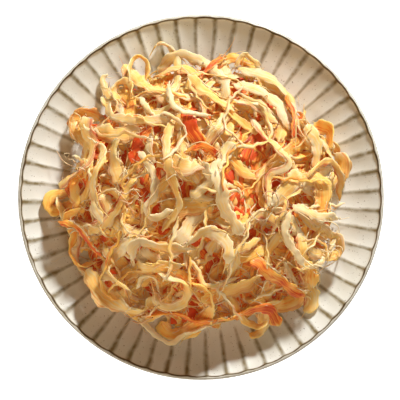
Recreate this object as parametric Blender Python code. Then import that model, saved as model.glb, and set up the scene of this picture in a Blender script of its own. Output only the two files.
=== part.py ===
"""Shredded dried squid heaped on a fluted stoneware plate.

Metres, +Z up. The origin is the centre of the plate's foot, on the table, and +Y is the plate's far side.
"""

import math
import random
from collections import namedtuple

import bmesh
import bpy
from mathutils import Matrix, Vector, noise

MM = 0.001

# Plate: a flat floor, a fluted wall that leans outwards, a thin rim and a turned foot
FLUTES = 56
FLUTE_DEPTH = 1.7 * MM
FLUTE_COLUMNS = 3
FIRST_RIDGE = math.radians(1.8)
FLOOR_RADIUS = 73 * MM
FLOOR_TOP = 8 * MM
WALL_INSIDE = [(FLOOR_RADIUS, FLOOR_TOP), (84 * MM, 12 * MM), (96.2 * MM, 18 * MM)]
RIM = [(98.4 * MM, 20.5 * MM), (100 * MM, 19.4 * MM)]
WALL_OUTSIDE = [(98.6 * MM, 16.8 * MM), (88 * MM, 9.4 * MM), (75 * MM, 4.9 * MM), (58 * MM, 4 * MM)]
FOOT = [(55.5 * MM, 0), (51.5 * MM, 0), (50 * MM, 3.2 * MM)]

# Heap: a pressed core, with the shreds that show laid on it one after another
GAP = 0.5 * MM
SOLE_SHARE = 0.97
CORE_RADIUS = 72 * MM
CORE_HEIGHT = 45 * MM
CORE_SHAPE = (2.1, 0.68)
CORE_COLUMNS = 26
CORE_RINGS = 6
LUMP_HEIGHT = 7 * MM
LUMP_SIZE = 24 * MM
LUMP_FADE = 3
SLOPE_REACH = 5 * MM

# The heap's top is a height for each square cell of the plan, GRID_HALF cells each way from the middle
CELL = 1.5 * MM
GRID_HALF = 66

# How a shred lies: it sags between supports, digs into narrow peaks and sinks a little into what carries it
ROUTE_STEP = 2 * MM
CURVE_STEPS = 12
SWEEPS = 40
SAMPLES_ACROSS = 5
END_DROP = 1 * MM
SAG = 0.1 * MM
SINK = 0.5 * MM
PRESS = 3 * MM
PRESS_REACH = 4
TWIST = math.radians(26)
PINCH = 0.55
NAMED_SECTION_EVERY = 3
RULE_SECTION_EVERY = 5

# Shreds placed by rule, under the named ones: looks in turn, and the spread of each size
RULE_SHREDS = 48
RULE_SEED = 7
RULE_REACH = 77 * MM
RULE_CROWDING = 0.44
RULE_LOOKS = ["pale", "amber", "cream", "amber", "skin", "pale", "cream"]
RULE_LENGTH = (42 * MM, 72 * MM)
RULE_WIDTH = (4 * MM, 9 * MM)
RULE_ROLL = math.radians(40)
RULE_LIFT = 2 * MM
TURN_RADIUS = 20 * MM
SWAY = (0.4, 1.0)
SWAY_RADIUS = 16 * MM
SWAY_STRIDE = 9 * MM
TURN_BACK_AT = 0.9
TURN_BACK_SOFTNESS = 5 * MM
TURN_BACK_RADIUS = 12 * MM
GOLDEN_ANGLE = math.pi * (3 - math.sqrt(5))

Shred = namedtuple("Shred", "look width thick roll twist lift route")

# The camera looks down almost upright, so what stands above the rim shows too far out and too far up
CAMERA_HEIGHT = 1.09
CAMERA_LEAN = 0.052
PILE = 8 * MM

# The shreds that can be told apart from above: look, width, roll, lift, route, in millimetres and degrees.
# The routes are as the photograph shows them in the plane of the plate's rim.
NAMED_SHREDS = [
    ("red", 8, 0, 0, [(-37, 18), (-34, 30), (-26, 38)]),
    ("red", 8, 0, 0, [(-8, 48), (-5, 36), (1, 26)]),
    ("amber", 11, 0, 0, [(-22, -7), (-8, -6), (7, -5)]),
    ("amber", 11, 15, 0, [(0, -56), (18, -51), (34, -42)]),
    ("amber", 9, 10, 0, [(25, -57), (37, -60), (48, -58), (56, -52)]),
    ("amber", 8, 20, 1, [(54, -36), (59, -41), (60, -50)]),
    ("amber", 8, -20, 1, [(-69, 13), (-70, 6), (-68, -2), (-64, -9)]),
    ("amber", 10, 20, 1, [(60, 14), (66, 2), (65, -11)]),
    ("cream", 9, 10, 1, [(-58, 36), (-46, 33), (-33, 36)]),
    ("cream", 8, -10, 1, [(-25, 66), (-10, 70), (3, 63)]),
    ("cream", 9, 0, 2, [(-19, 23), (-8, 15), (2, 18)]),
    ("skin", 10, -25, 2, [(-77, 5), (-66, 13), (-59, 24), (-64, 43)]),
    ("cream", 8, 0, 1, [(-47, 31), (-48, 20), (-44, 7)]),
    ("cream", 10, 20, 2, [(-62, -40), (-55, -52), (-44, -60), (-33, -63), (-23, -55)]),
    ("rind", 7, 20, 1, [(-30, -66), (-17, -63), (-3, -68), (14, -67), (34, -61), (43, -70)]),
    ("white", 3, 30, 1, [(-34, -66), (-27, -73), (-18, -80), (-10, -76), (5, -70)]),
    ("cream", 5, 50, 2, [(-45, 52), (-48, 57), (-44, 62), (-38, 60), (-38, 54)]),
    ("skin", 4, 10, 1, [(-30, 47), (-23, 45), (-17, 48), (-14, 50)]),
    ("pale", 4, 20, 1, [(45, -36), (49, -44), (52, -51)]),
    ("pale", 3, 40, 2, [(-35, -50), (-31, -44), (-25, -45), (-23, -52)]),
    ("cream", 5, 50, 2, [(-23, -42), (-16, -45), (-8, -48), (-8, -55), (-13, -60), (-22, -59), (-26, -52)]),
    ("cream", 5, 20, 1, [(-53, -27), (-50, -34), (-51, -40), (-46, -46), (-39, -51)]),
    ("amber", 5, 65, 1, [(-58, -36), (-66, -38), (-71, -31), (-69, -20), (-72, -11), (-65, -7)]),
    ("rind", 4, 0, 2, [(-77, -14), (-66, -18), (-60, -27), (-53, -34)]),
    ("cream", 5, 65, 3, [(-39, 62), (-39, 71), (-34, 77), (-29, 72), (-31, 62)]),
    ("pale", 6, 20, 2, [(-24, 70), (-11, 78), (4, 71), (12, 63), (13, 53)]),
    ("pale", 7, -15, 1, [(20, 70), (37, 63), (49, 52), (53, 37), (60, 25)]),
    ("red", 3, 0, 1, [(-2, 64), (5, 70), (12, 76)]),
    ("pale", 3, 30, 2, [(19, 70), (24, 77), (32, 69)]),
    ("pale", 7, 15, 1, [(17, 62), (32, 57), (43, 48), (49, 36)]),
    ("pale", 8, 20, 2, [(57, 38), (63, 27), (62, 14)]),
    ("amber", 8, 30, 2, [(62, 40), (70, 36), (71, 26)]),
    ("skin", 4, 30, 2, [(56, 8), (66, 18), (75, 14), (76, -2)]),
    ("skin", 5, 0, 1, [(18, 52), (30, 49), (42, 40)]),
    ("pale", 9, 20, 2, [(38, -6), (46, 4), (55, 12)]),
    ("pale", 6, 0, 2, [(50, -5), (62, -11), (74, -13)]),
    ("white", 3, 0, 2, [(54, -40), (65, -36), (73, -22)]),
    ("rind", 7, 15, 2, [(27, -34), (38, -43), (56, -55)]),
    ("skin", 4, 0, 2, [(-33, 13), (-38, 9), (-43, -2), (-48, -10), (-54, -18)]),
    ("skin", 3, 0, 2, [(-7, -33), (-2, -41), (3, -49), (11, -48), (21, -44)]),
    ("cream", 5, 30, 2, [(14, -39), (17, -32), (25, -28), (32, -23)]),
    ("white", 3, 20, 2, [(-34, 54), (-31, 51), (-29, 47), (-25, 43)]),
    ("pale", 3, 0, 1, [(-9, -2), (-1, -1), (7, -2)]),
    ("pale", 5, 20, 2, [(-54, 54), (-47, 43), (-33, 41), (-15, 41)]),
    ("pale", 5, 0, 2, [(-57, 29), (-53, 22), (-58, 9), (-58, -3), (-54, -15)]),
    ("pale", 6, 30, 2, [(-38, -35), (-34, -25), (-22, -28), (-5, -29)]),
    ("pale", 7, 20, 2, [(-8, -26), (3, -20), (14, -25), (14, -37)]),
    ("skin", 5, 0, 3, [(8, -13), (22, -18), (32, -10), (43, -16)]),
    ("red", 3, 0, 3, [(46, 54), (50, 44), (50, 31)]),
    ("skin", 4, 0, 3, [(26, 45), (36, 31), (48, 18), (37, 10), (37, -6)]),
    ("cream", 6, 0, 2, [(-7, 66), (2, 57), (18, 46)]),
    ("red", 4, 0, 3, [(-8, 24), (0, 27), (13, 21)]),
    ("white", 3, 0, 3, [(-18, 60), (-15, 49), (-6, 45), (5, 44)]),
    ("cream", 5, 20, 3, [(-16, 42), (-19, 26), (-16, 9), (-12, -4), (-21, -19)]),
    ("white", 5, 10, 1, [(1, 18), (5, 8), (-6, 0)]),
    ("white", 4, 20, 3, [(-34, 24), (-28, 17), (-25, 1), (-31, -6), (-26, -12), (-15, -8)]),
    ("white", 4, 30, 3, [(49, -8), (45, -19), (49, -27), (55, -39)]),
    ("white", 7, 10, 1, [(18, 29), (10, 18), (10, 5), (14, -8), (22, -21)]),
]
THICKNESS = {
    "red": 1.6 * MM, "rind": 2.0 * MM, "skin": 2.0 * MM, "amber": 1.8 * MM, "cream": 2.0 * MM,
    "pale": 2.2 * MM, "white": 2.2 * MM,
}
COLOURS = {"glaze": (0.74, 0.68, 0.59), "squid": (0.86, 0.66, 0.38)}


def clear_scene():
    for item in list(bpy.data.objects):
        bpy.data.objects.remove(item)


def finish(name, mesh_data, colour, roughness):
    """One named object from a bmesh, with its own material."""
    mesh = bpy.data.meshes.new(name)
    mesh_data.to_mesh(mesh)
    mesh_data.free()
    material = bpy.data.materials.new(name)
    material.use_nodes = True
    shader = material.node_tree.nodes["Principled BSDF"]
    shader.inputs["Base Color"].default_value = (*colour, 1)
    shader.inputs["Roughness"].default_value = roughness
    shader.inputs["Metallic"].default_value = 0
    mesh.materials.append(material)
    thing = bpy.data.objects.new(name, mesh)
    bpy.context.scene.collection.objects.link(thing)
    return thing


def plate_ring(bm, radius, z, columns, scoop=0.0):
    """One ring of vertices. Between two ridges the ring swells outwards by scoop, as a shallow arc."""
    ring = []
    for k in range(FLUTES * columns):
        across = (k % columns) / columns
        swell = scoop * (1 - (2 * across - 1) ** 2)
        angle = FIRST_RIDGE + math.tau * k / (FLUTES * columns)
        reach = radius + swell
        ring.append(bm.verts.new((reach * math.cos(angle), reach * math.sin(angle), z)))
    return ring


def band(bm, inner, outer):
    """Faces between two rings; the finer one may have a whole number of columns for each of the other's."""
    sectors = min(len(inner), len(outer))
    a = len(inner) // sectors
    b = len(outer) // sectors
    for s in range(sectors):
        near = [inner[(s * a + k) % len(inner)] for k in range(a + 1)]
        far = [outer[(s * b + k) % len(outer)] for k in range(b + 1)]
        bm.faces.new(near[::-1] + far)


def make_plate():
    bm = bmesh.new()
    rings = [plate_ring(bm, r, z, FLUTE_COLUMNS, FLUTE_DEPTH) for r, z in WALL_INSIDE]
    rings += [plate_ring(bm, r, z, 1) for r, z in RIM + WALL_OUTSIDE + FOOT]
    bm.faces.new(rings[0])
    for inner, outer in zip(rings, rings[1:]):
        band(bm, inner, outer)
    bm.faces.new(rings[-1][::-1])
    bmesh.ops.triangulate(bm, faces=bm.faces[:])
    bmesh.ops.recalc_face_normals(bm, faces=bm.faces[:])
    plate = finish("plate", bm, COLOURS["glaze"], 0.25)
    plate.data.shade_smooth()
    return plate


def plate_top(radius):
    """Height of the plate's inside along a ridge, which is the highest that it stands at this radius."""
    profile = WALL_INSIDE + RIM[:1]
    if radius <= profile[0][0]:
        return profile[0][1]
    for (r0, z0), (r1, z1) in zip(profile, profile[1:]):
        if radius <= r1:
            return z0 + (z1 - z0) * (radius - r0) / (r1 - r0)
    return profile[-1][1]


def core_top(x, y):
    """Height of the lumpy dome that the outer shreds lie on."""
    reach = math.hypot(x, y) / CORE_RADIUS
    if reach >= 1:
        return FLOOR_TOP + GAP
    spread, steepness = CORE_SHAPE
    dome = CORE_HEIGHT * (1 - reach**spread) ** steepness
    lump = LUMP_HEIGHT * noise.noise(Vector((x, y, 0)) / LUMP_SIZE)
    return FLOOR_TOP + GAP + dome + lump * min(1, LUMP_FADE * (1 - reach))


def bed(x, y):
    """What a shred comes to rest on where no other shred lies yet."""
    return max(core_top(x, y), plate_top(math.hypot(x, y)) + GAP)


def bed_normal(x, y):
    slope_x = (bed(x + SLOPE_REACH, y) - bed(x - SLOPE_REACH, y)) / (2 * SLOPE_REACH)
    slope_y = (bed(x, y + SLOPE_REACH) - bed(x, y - SLOPE_REACH)) / (2 * SLOPE_REACH)
    return Vector((-slope_x, -slope_y, 1)).normalized()


def make_heap_tops():
    """The height of the heap so far in each square cell of the plan."""
    cells = range(-GRID_HALF, GRID_HALF + 1)
    return {(i, j): bed(i * CELL, j * CELL) for i in cells for j in cells}


def cell_of(point):
    return (
        max(-GRID_HALF, min(GRID_HALF, round(point[0] / CELL))),
        max(-GRID_HALF, min(GRID_HALF, round(point[1] / CELL))),
    )


def smooth_route(points):
    """Evenly spaced plan points on a smooth curve through the given ones."""
    knots = [Vector(p) for p in points]
    knots = [2 * knots[0] - knots[1], *knots, 2 * knots[-1] - knots[-2]]
    dense = []
    for p0, p1, p2, p3 in zip(knots, knots[1:], knots[2:], knots[3:]):
        for k in range(CURVE_STEPS):
            t = k / CURVE_STEPS
            bend = 2 * p0 - 5 * p1 + 4 * p2 - p3
            twist = -p0 + 3 * p1 - 3 * p2 + p3
            dense.append(p1 + 0.5 * ((p2 - p0) * t + bend * t * t + twist * t**3))
    dense.append(knots[-2])
    return even(dense)


def even(dense):
    """The same curve with points at even steps along it."""
    lengths = [0.0]
    for a, b in zip(dense, dense[1:]):
        lengths.append(lengths[-1] + (b - a).length)
    count = max(4, round(lengths[-1] / ROUTE_STEP))
    route = []
    k = 0
    for n in range(count + 1):
        target = lengths[-1] * n / count
        while k < len(dense) - 2 and lengths[k + 1] < target:
            k += 1
        share = (target - lengths[k]) / max(lengths[k + 1] - lengths[k], 1e-9)
        route.append(dense[k].lerp(dense[k + 1], share))
    return route


def true_place(x, y):
    """Where a shred lies that the photograph shows at this place of the rim's plane."""
    rise = max(0, core_top(x, y) + PILE - RIM[0][1])
    closer = 1 - rise / CAMERA_HEIGHT
    return (x * closer, (y - rise * CAMERA_LEAN) * closer)


def named_shreds():
    """The shreds seen from above, in the order in which they were dropped."""
    for n, (look, width, roll, lift, points) in enumerate(NAMED_SHREDS):
        route = smooth_route([true_place(x * MM, y * MM) for x, y in points])
        twist = TWIST if n % 2 else -TWIST
        yield Shred(look, width * MM, THICKNESS[look], math.radians(roll), twist, lift * MM, route)


def rule_shreds():
    """Shreds spread evenly under the named ones, each a wandering curve that keeps to the heap."""
    draw = random.Random(RULE_SEED)
    for n in range(RULE_SHREDS):
        look = RULE_LOOKS[n % len(RULE_LOOKS)]
        reach = RULE_REACH * ((n + 0.5) / RULE_SHREDS) ** RULE_CROWDING
        middle = Vector((math.cos(n * GOLDEN_ANGLE), math.sin(n * GOLDEN_ANGLE))) * reach
        heading = draw.uniform(0, math.tau)
        length = draw.uniform(*RULE_LENGTH)
        turn = draw.uniform(-1, 1) / TURN_RADIUS
        sway = draw.uniform(*SWAY) / SWAY_RADIUS
        width = draw.uniform(*RULE_WIDTH)
        roll = draw.uniform(-1, 1) * RULE_ROLL
        twist = draw.uniform(-2, 2) * TWIST
        lift = draw.uniform(0, 1) * RULE_LIFT
        route = wander(middle, heading, length, turn, sway, draw.uniform(0, math.tau))
        yield Shred(look, width, THICKNESS[look], roll, twist, lift, route)


def wander(middle, heading, length, turn, sway, phase):
    """A curve through its middle point whose curvature sways, kept within the heap's reach."""
    halves = []
    for way in (1, -1):
        place = middle.copy()
        angle = heading + (0 if way == 1 else math.pi)
        half = []
        for k in range(int(length / 2 / ROUTE_STEP)):
            along = way * k * ROUTE_STEP
            bend = way * (turn + sway * math.sin(along / SWAY_STRIDE + phase))
            outward = math.atan2(place.y, place.x) - angle
            past = max(0, place.length - TURN_BACK_AT * RULE_REACH) / TURN_BACK_SOFTNESS
            bend -= past * math.sin(outward) / TURN_BACK_RADIUS
            angle += bend * ROUTE_STEP
            place = place + ROUTE_STEP * Vector((math.cos(angle), math.sin(angle)))
            half.append(place)
        halves.append(half)
    return even([*halves[1][::-1], middle, *halves[0]])


def pressed(supports):
    """A soft shred digs into a narrow peak, which then stands only a little above what is round it."""
    result = []
    for k, height in enumerate(supports):
        near = supports[max(0, k - PRESS_REACH) : k + PRESS_REACH + 1]
        result.append(min(height, sum(near) / len(near) + PRESS))
    return result


def lay(shred, tops):
    """Drops a shred on the heap. It rests on its highest supports and sags between them.

    Returns a frame for each route point: centre, the way across the ribbon, and the way through it.
    """
    count = len(shred.route)
    sides = []
    supports = []
    across = [shred.width * (k / (SAMPLES_ACROSS - 1) - 0.5) for k in range(SAMPLES_ACROSS)]
    for k, (x, y) in enumerate(shred.route):
        ahead = shred.route[min(k + 1, count - 1)] - shred.route[max(k - 1, 0)]
        up = bed_normal(x, y)
        tangent = Vector((ahead.x, ahead.y, 0))
        tangent = (tangent - up * tangent.dot(up)).normalized()
        roll = shred.roll + shred.twist * (2 * k / (count - 1) - 1)
        side = Matrix.Rotation(roll, 3, tangent) @ tangent.cross(up)
        sides.append(side)
        half = shred.thick / 2
        supports.append(
            max(tops[cell_of((x + side.x * d, y + side.y * d))] - side.z * d + half for d in across)
        )
    supports = pressed(supports)
    heights = supports[:]
    for _ in range(SWEEPS):
        for k in range(1, count - 1):
            heights[k] = max(supports[k], (heights[k - 1] + heights[k + 1]) / 2 - SAG)
        heights[0] = max(supports[0], heights[1] - END_DROP)
        heights[-1] = max(supports[-1], heights[-2] - END_DROP)
    centres = []
    for k, (x, y) in enumerate(shred.route):
        arch = shred.lift * math.sin(math.pi * k / (count - 1))
        centres.append(Vector((x, y, heights[k] + arch - SINK)))
        for d in across:
            cell = cell_of((x + sides[k].x * d, y + sides[k].y * d))
            tops[cell] = max(tops[cell], centres[k].z + sides[k].z * d + shred.thick / 2)
    frames = []
    for k, centre in enumerate(centres):
        along = (centres[min(k + 1, count - 1)] - centres[max(k - 1, 0)]).normalized()
        side = (sides[k] - along * sides[k].dot(along)).normalized()
        frames.append((centre, side, side.cross(along)))
    return frames


def above_plate(point):
    lowest = plate_top(math.hypot(point.x, point.y)) + GAP
    return Vector((point.x, point.y, max(point.z, lowest)))


def make_strip(name, shred, frames, every):
    """A shred as a plain strip with pinched ends and a cross-section at every so many frames."""
    bm = bmesh.new()
    steps = max(2, round((len(frames) - 1) / every))
    picked = [frames[round(k * (len(frames) - 1) / steps)] for k in range(steps + 1)]
    sections = []
    for k, (centre, side, through) in enumerate(picked):
        pinch = PINCH if k in (0, len(picked) - 1) else 1
        across = side * shred.width * pinch / 2
        thick = through * shred.thick / 2
        under = [centre - across - thick, centre + across - thick]
        over = [centre + across + thick, centre - across + thick]
        sections.append([bm.verts.new(above_plate(corner)) for corner in under + over])
    for a, b in zip(sections, sections[1:]):
        for k in range(4):
            bm.faces.new((a[k], a[(k + 1) % 4], b[(k + 1) % 4], b[k]))
    bm.faces.new(sections[0][::-1])
    bm.faces.new(sections[-1])
    bmesh.ops.triangulate(bm, faces=bm.faces[:])
    bmesh.ops.recalc_face_normals(bm, faces=bm.faces[:])
    mesh = bpy.data.meshes.new(name)
    bm.to_mesh(mesh)
    bm.free()
    return bpy.data.objects.new(name, mesh)


def make_core():
    """The pressed middle of the heap, flat where it lies on the plate."""
    bm = bmesh.new()
    rings = []
    for n in range(1, CORE_RINGS + 1):
        reach = CORE_RADIUS * math.sin(math.pi / 2 * n / CORE_RINGS)
        angles = [math.tau * k / CORE_COLUMNS for k in range(CORE_COLUMNS)]
        spots = [(reach * math.cos(a), reach * math.sin(a)) for a in angles]
        skirt = GAP if n == CORE_RINGS else 0
        rings.append([bm.verts.new((x, y, core_top(x, y) + skirt)) for x, y in spots])
    sole = [bm.verts.new((v.co.x * SOLE_SHARE, v.co.y * SOLE_SHARE, FLOOR_TOP + GAP)) for v in rings[-1]]
    summit = bm.verts.new((0, 0, core_top(0, 0)))
    for k in range(CORE_COLUMNS):
        bm.faces.new((summit, rings[0][k], rings[0][(k + 1) % CORE_COLUMNS]))
    for inner, outer in zip(rings, [*rings[1:], sole]):
        for k in range(CORE_COLUMNS):
            after = (k + 1) % CORE_COLUMNS
            bm.faces.new((inner[k], outer[k], outer[after], inner[after]))
    bm.faces.new(sole[::-1])
    bmesh.ops.triangulate(bm, faces=bm.faces[:])
    bmesh.ops.recalc_face_normals(bm, faces=bm.faces[:])
    return finish("squid_shreds", bm, COLOURS["squid"], 0.5)


def keep_largest_shell(mesh):
    """Drops loose scraps and the inner shells of hollows that the joining sealed."""
    bm = bmesh.new()
    bm.from_mesh(mesh)
    unseen = set(bm.verts)
    shells = []
    while unseen:
        edge_of_search = [unseen.pop()]
        shell = []
        while edge_of_search:
            vert = edge_of_search.pop()
            shell.append(vert)
            for edge in vert.link_edges:
                other = edge.other_vert(vert)
                if other in unseen:
                    unseen.remove(other)
                    edge_of_search.append(other)
        shells.append(shell)
    shells.sort(key=len)
    for shell in shells[:-1]:
        bmesh.ops.delete(bm, geom=shell, context="VERTS")
    bm.to_mesh(mesh)
    bm.free()


def make_heap():
    """Joins the core and the shreds that show into one solid."""
    heap = make_core()
    tops = make_heap_tops()
    strips = bpy.data.collections.new("strips")
    bpy.context.scene.collection.children.link(strips)
    layers = [(rule_shreds(), RULE_SECTION_EVERY), (named_shreds(), NAMED_SECTION_EVERY)]
    for shreds, every in layers:
        for shred in shreds:
            name = f"strip_{len(strips.objects):03d}"
            strips.objects.link(make_strip(name, shred, lay(shred, tops), every))
    join = heap.modifiers.new("join", "BOOLEAN")
    join.operation = "UNION"
    join.operand_type = "COLLECTION"
    join.collection = strips
    join.solver = "MANIFOLD"
    graph = bpy.context.evaluated_depsgraph_get()
    joined = bpy.data.meshes.new_from_object(heap.evaluated_get(graph))
    heap.modifiers.clear()
    heap.data = joined
    for strip in list(strips.objects):
        bpy.data.objects.remove(strip)
    bpy.data.collections.remove(strips)
    keep_largest_shell(heap.data)
    return heap


clear_scene()
make_plate()
make_heap()
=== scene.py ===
# %% [markdown]
# # A heap of shredded dried squid on a fluted plate
# Dried squid is pulled along its fibres into shreds: broad amber ribbons, pale frayed strands and threads
# with a trace of reddish skin. A heap of them lies loosely on a glazed stoneware plate with a fluted
# wall. This lesson loads the measured solids, makes the plate finer, drops some hundreds of shreds on one
# another, and gives each kind its own finish.

# %% Load the measured solids
import math
import random
from collections import namedtuple

import bmesh
import bpy
import numpy as np
from mathutils import Matrix, Vector, noise


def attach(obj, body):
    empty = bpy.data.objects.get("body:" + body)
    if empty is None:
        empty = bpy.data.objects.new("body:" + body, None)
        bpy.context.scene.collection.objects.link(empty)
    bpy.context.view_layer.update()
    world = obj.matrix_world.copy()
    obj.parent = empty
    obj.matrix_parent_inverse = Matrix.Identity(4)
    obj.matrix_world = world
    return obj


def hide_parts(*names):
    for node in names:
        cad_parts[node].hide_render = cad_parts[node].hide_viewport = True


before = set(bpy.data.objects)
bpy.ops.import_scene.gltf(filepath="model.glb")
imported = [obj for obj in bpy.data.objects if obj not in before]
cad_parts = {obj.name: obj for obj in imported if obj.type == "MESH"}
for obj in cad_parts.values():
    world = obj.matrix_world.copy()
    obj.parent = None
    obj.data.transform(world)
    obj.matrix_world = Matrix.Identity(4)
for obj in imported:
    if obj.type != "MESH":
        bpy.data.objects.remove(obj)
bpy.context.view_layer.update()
MM = 0.001
print("solids:", sorted(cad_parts))

# %% [markdown]
# ## Camera
# The photograph looks almost straight down, with the plate a little above the middle of the frame. A long
# lens keeps the upright sides of the plate and the heap out of sight, as they are there. The plate's 200
# mm take up 367 of the picture's 400 pixels, which sets the distance.

# %% The camera above the plate
LENS = 180
SENSOR = 36
PICTURE = 400
RIM_HEIGHT = 20 * MM
MM_PER_PIXEL = 0.546
LOOK_DOWN = math.radians(87)
AIM_PIXELS = (-1.0, -3.7)
distance = MM_PER_PIXEL * MM * PICTURE * LENS / SENSOR
aim = Vector((*[pixels * MM_PER_PIXEL * MM for pixels in AIM_PIXELS], RIM_HEIGHT))
back = Vector((0, -math.cos(LOOK_DOWN), math.sin(LOOK_DOWN)))
camera = bpy.data.objects.new("camera", bpy.data.cameras.new("camera"))
camera.data.lens = LENS
camera.data.sensor_width = SENSOR
camera.data.clip_end = 10
camera.location = aim + back * distance
camera.rotation_mode = "QUATERNION"
camera.rotation_quaternion = (-back).to_track_quat("-Z", "Y")
bpy.context.scene.collection.objects.link(camera)
bpy.context.scene.camera = camera
print("camera is", round(distance, 3), "m above the rim")

# %% [markdown]
# ## Light and floor
# The heap's shadow falls on the plate's lower left, and its edge is fairly clear, so the main light is a
# smallish soft box at the upper right. The shadow is warm brown and far from black, so a warm sky, a
# large low lamp from the other side and a weak one from above fill it. The floor is a plain white sheet.

# %% Three soft boxes, a warm sky and a white floor
SKY_COLOUR = (1.0, 0.57, 0.27, 1)
SKY_STRENGTH = 0.11
SHEET_GREY = (0.60, 0.60, 0.60, 1)
SHEET_GLOW = 0.95


def set_values(node, values):
    for socket, value in values.items():
        node.inputs[socket].default_value = value


def make_piece(name, shape, smooth=True):
    """An object in the scene from a bmesh, which is used up."""
    mesh = bpy.data.meshes.new(name)
    shape.to_mesh(mesh)
    shape.free()
    if smooth:
        mesh.shade_smooth()
    piece = bpy.data.objects.new(name, mesh)
    bpy.context.scene.collection.objects.link(piece)
    return piece


def soft_box(name, azimuth, height, reach, size, power, colour):
    """An area light that faces the plate. Azimuth 0 is the top of the picture, 90 its right."""
    a = math.radians(azimuth)
    e = math.radians(height)
    way = Vector((math.sin(a) * math.cos(e), math.cos(a) * math.cos(e), math.sin(e)))
    light = bpy.data.lights.new(name, "AREA")
    light.shape = "DISK"
    light.size = size
    light.energy = power
    light.color = colour
    thing = bpy.data.objects.new(name, light)
    thing.location = way * reach
    thing.rotation_mode = "QUATERNION"
    thing.rotation_quaternion = (-way).to_track_quat("-Z", "Y")
    bpy.context.scene.collection.objects.link(thing)


soft_box("main_light", azimuth=21, height=33, reach=1.3, size=0.16, power=22, colour=(0.98, 1.0, 0.98))
soft_box("low_light", azimuth=232, height=15, reach=1.5, size=0.8, power=7.5, colour=(1.0, 0.84, 0.60))
soft_box("top_light", azimuth=150, height=64, reach=1.5, size=0.6, power=4.2, colour=(1.0, 0.90, 0.70))
world = bpy.data.worlds.new("warm_sky")
world.use_nodes = True
set_values(world.node_tree.nodes["Background"], {"Color": SKY_COLOUR, "Strength": SKY_STRENGTH})
bpy.context.scene.world = world
bpy.context.scene.view_settings.view_transform = "Standard"

floor_shape = bmesh.new()
bmesh.ops.create_grid(floor_shape, x_segments=2, y_segments=2, size=3)
floor = make_piece("floor", floor_shape, smooth=False)
floor_finish = bpy.data.materials.new("white_sheet")
floor_finish.use_nodes = True
set_values(floor_finish.node_tree.nodes["Principled BSDF"], {
    "Base Color": SHEET_GREY, "Roughness": 0.9,
    "Emission Color": (1, 1, 1, 1), "Emission Strength": SHEET_GLOW,
})
floor.data.materials.append(floor_finish)
print("lights:", [o.name for o in bpy.data.objects if o.type == "LIGHT"])

# %% [markdown]
# ## The plate's shape
# A potter throws such a plate on a wheel, turns its foot, and then scoops the flutes out of the leaning
# wall one by one. The same order works here: a profile is drawn from the middle out over the rim and back
# under the foot, spun round the axis, and then the wall's points between two ridges are pushed outwards.

# %% The profile, as radius and height
FLOOR_AND_WALL = [
    (0, 8), (30, 8), (55, 8), (66, 8), (70.5, 8.05), (73, 8.35), (76, 9.15), (80, 10.5), (84, 12.05),
    (88, 13.95), (92, 15.9), (95, 17.4),
]
RIM = [
    (96.5, 18.2), (97.3, 19.0), (97.8, 19.8), (98.2, 20.3), (98.7, 20.45), (99.3, 20.2), (99.8, 19.6),
    (99.9, 18.7), (98.9, 16.8),
]
OUTSIDE = [(94, 13.2), (88, 9.4), (82, 6.9), (75, 4.9), (66, 4.3), (58.5, 4.0)]
FOOT = [
    (56.4, 3.4), (55.7, 2.3), (55.5, 0.6), (55.0, 0.1), (53.5, 0), (52.0, 0.1), (51.5, 0.6), (50.8, 2.4),
    (49.5, 3.2), (25, 3.2), (0, 3.2),
]
PROFILE_STEPS = 3
FLUTES = 56
COLUMNS = 12
FIRST_RIDGE = math.radians(1.8)


def through(points, steps):
    """A smooth line through the given points, with so many steps between two of them."""
    knots = [Vector(p) for p in points]
    knots = [2 * knots[0] - knots[1], *knots, 2 * knots[-1] - knots[-2]]
    line = []
    for p0, p1, p2, p3 in zip(knots, knots[1:], knots[2:], knots[3:]):
        for k in range(steps):
            t = k / steps
            bend = 2 * p0 - 5 * p1 + 4 * p2 - p3
            twist = -p0 + 3 * p1 - 3 * p2 + p3
            line.append(p1 + 0.5 * ((p2 - p0) * t + bend * t * t + twist * t**3))
    line.append(knots[-2])
    return line


outline = through(FLOOR_AND_WALL + RIM + OUTSIDE + FOOT, PROFILE_STEPS)
print("profile points:", len(outline))

# %% [markdown]
# The wheel's turn is a spin of the profile round the upright axis, with the same number of columns in
# every flute.

# %% Spin the profile
plate_shape = bmesh.new()
line = [plate_shape.verts.new((max(p.x, 0) * MM, 0, max(p.y, 0) * MM)) for p in outline]
edges = [plate_shape.edges.new(pair) for pair in zip(line, line[1:])]
bmesh.ops.spin(
    plate_shape, geom=line + edges, cent=(0, 0, 0), axis=(0, 0, 1), angle=math.tau,
    steps=FLUTES * COLUMNS, use_merge=True,
)
bmesh.ops.remove_doubles(plate_shape, verts=plate_shape.verts[:], dist=1e-6)
print("plate vertices:", len(plate_shape.verts))

# %% [markdown]
# ## Flutes, and where the glaze runs thin
# Each flute is a shallow scoop, so its cross-section is an arc and two neighbours meet in a ridge. At the
# rim the scoop ends in a scallop. Glaze draws back from sharp edges while it melts, and the iron in the
# clay shows through brown there. Each point keeps how thin its glaze is, so that the finish can use it.

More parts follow.
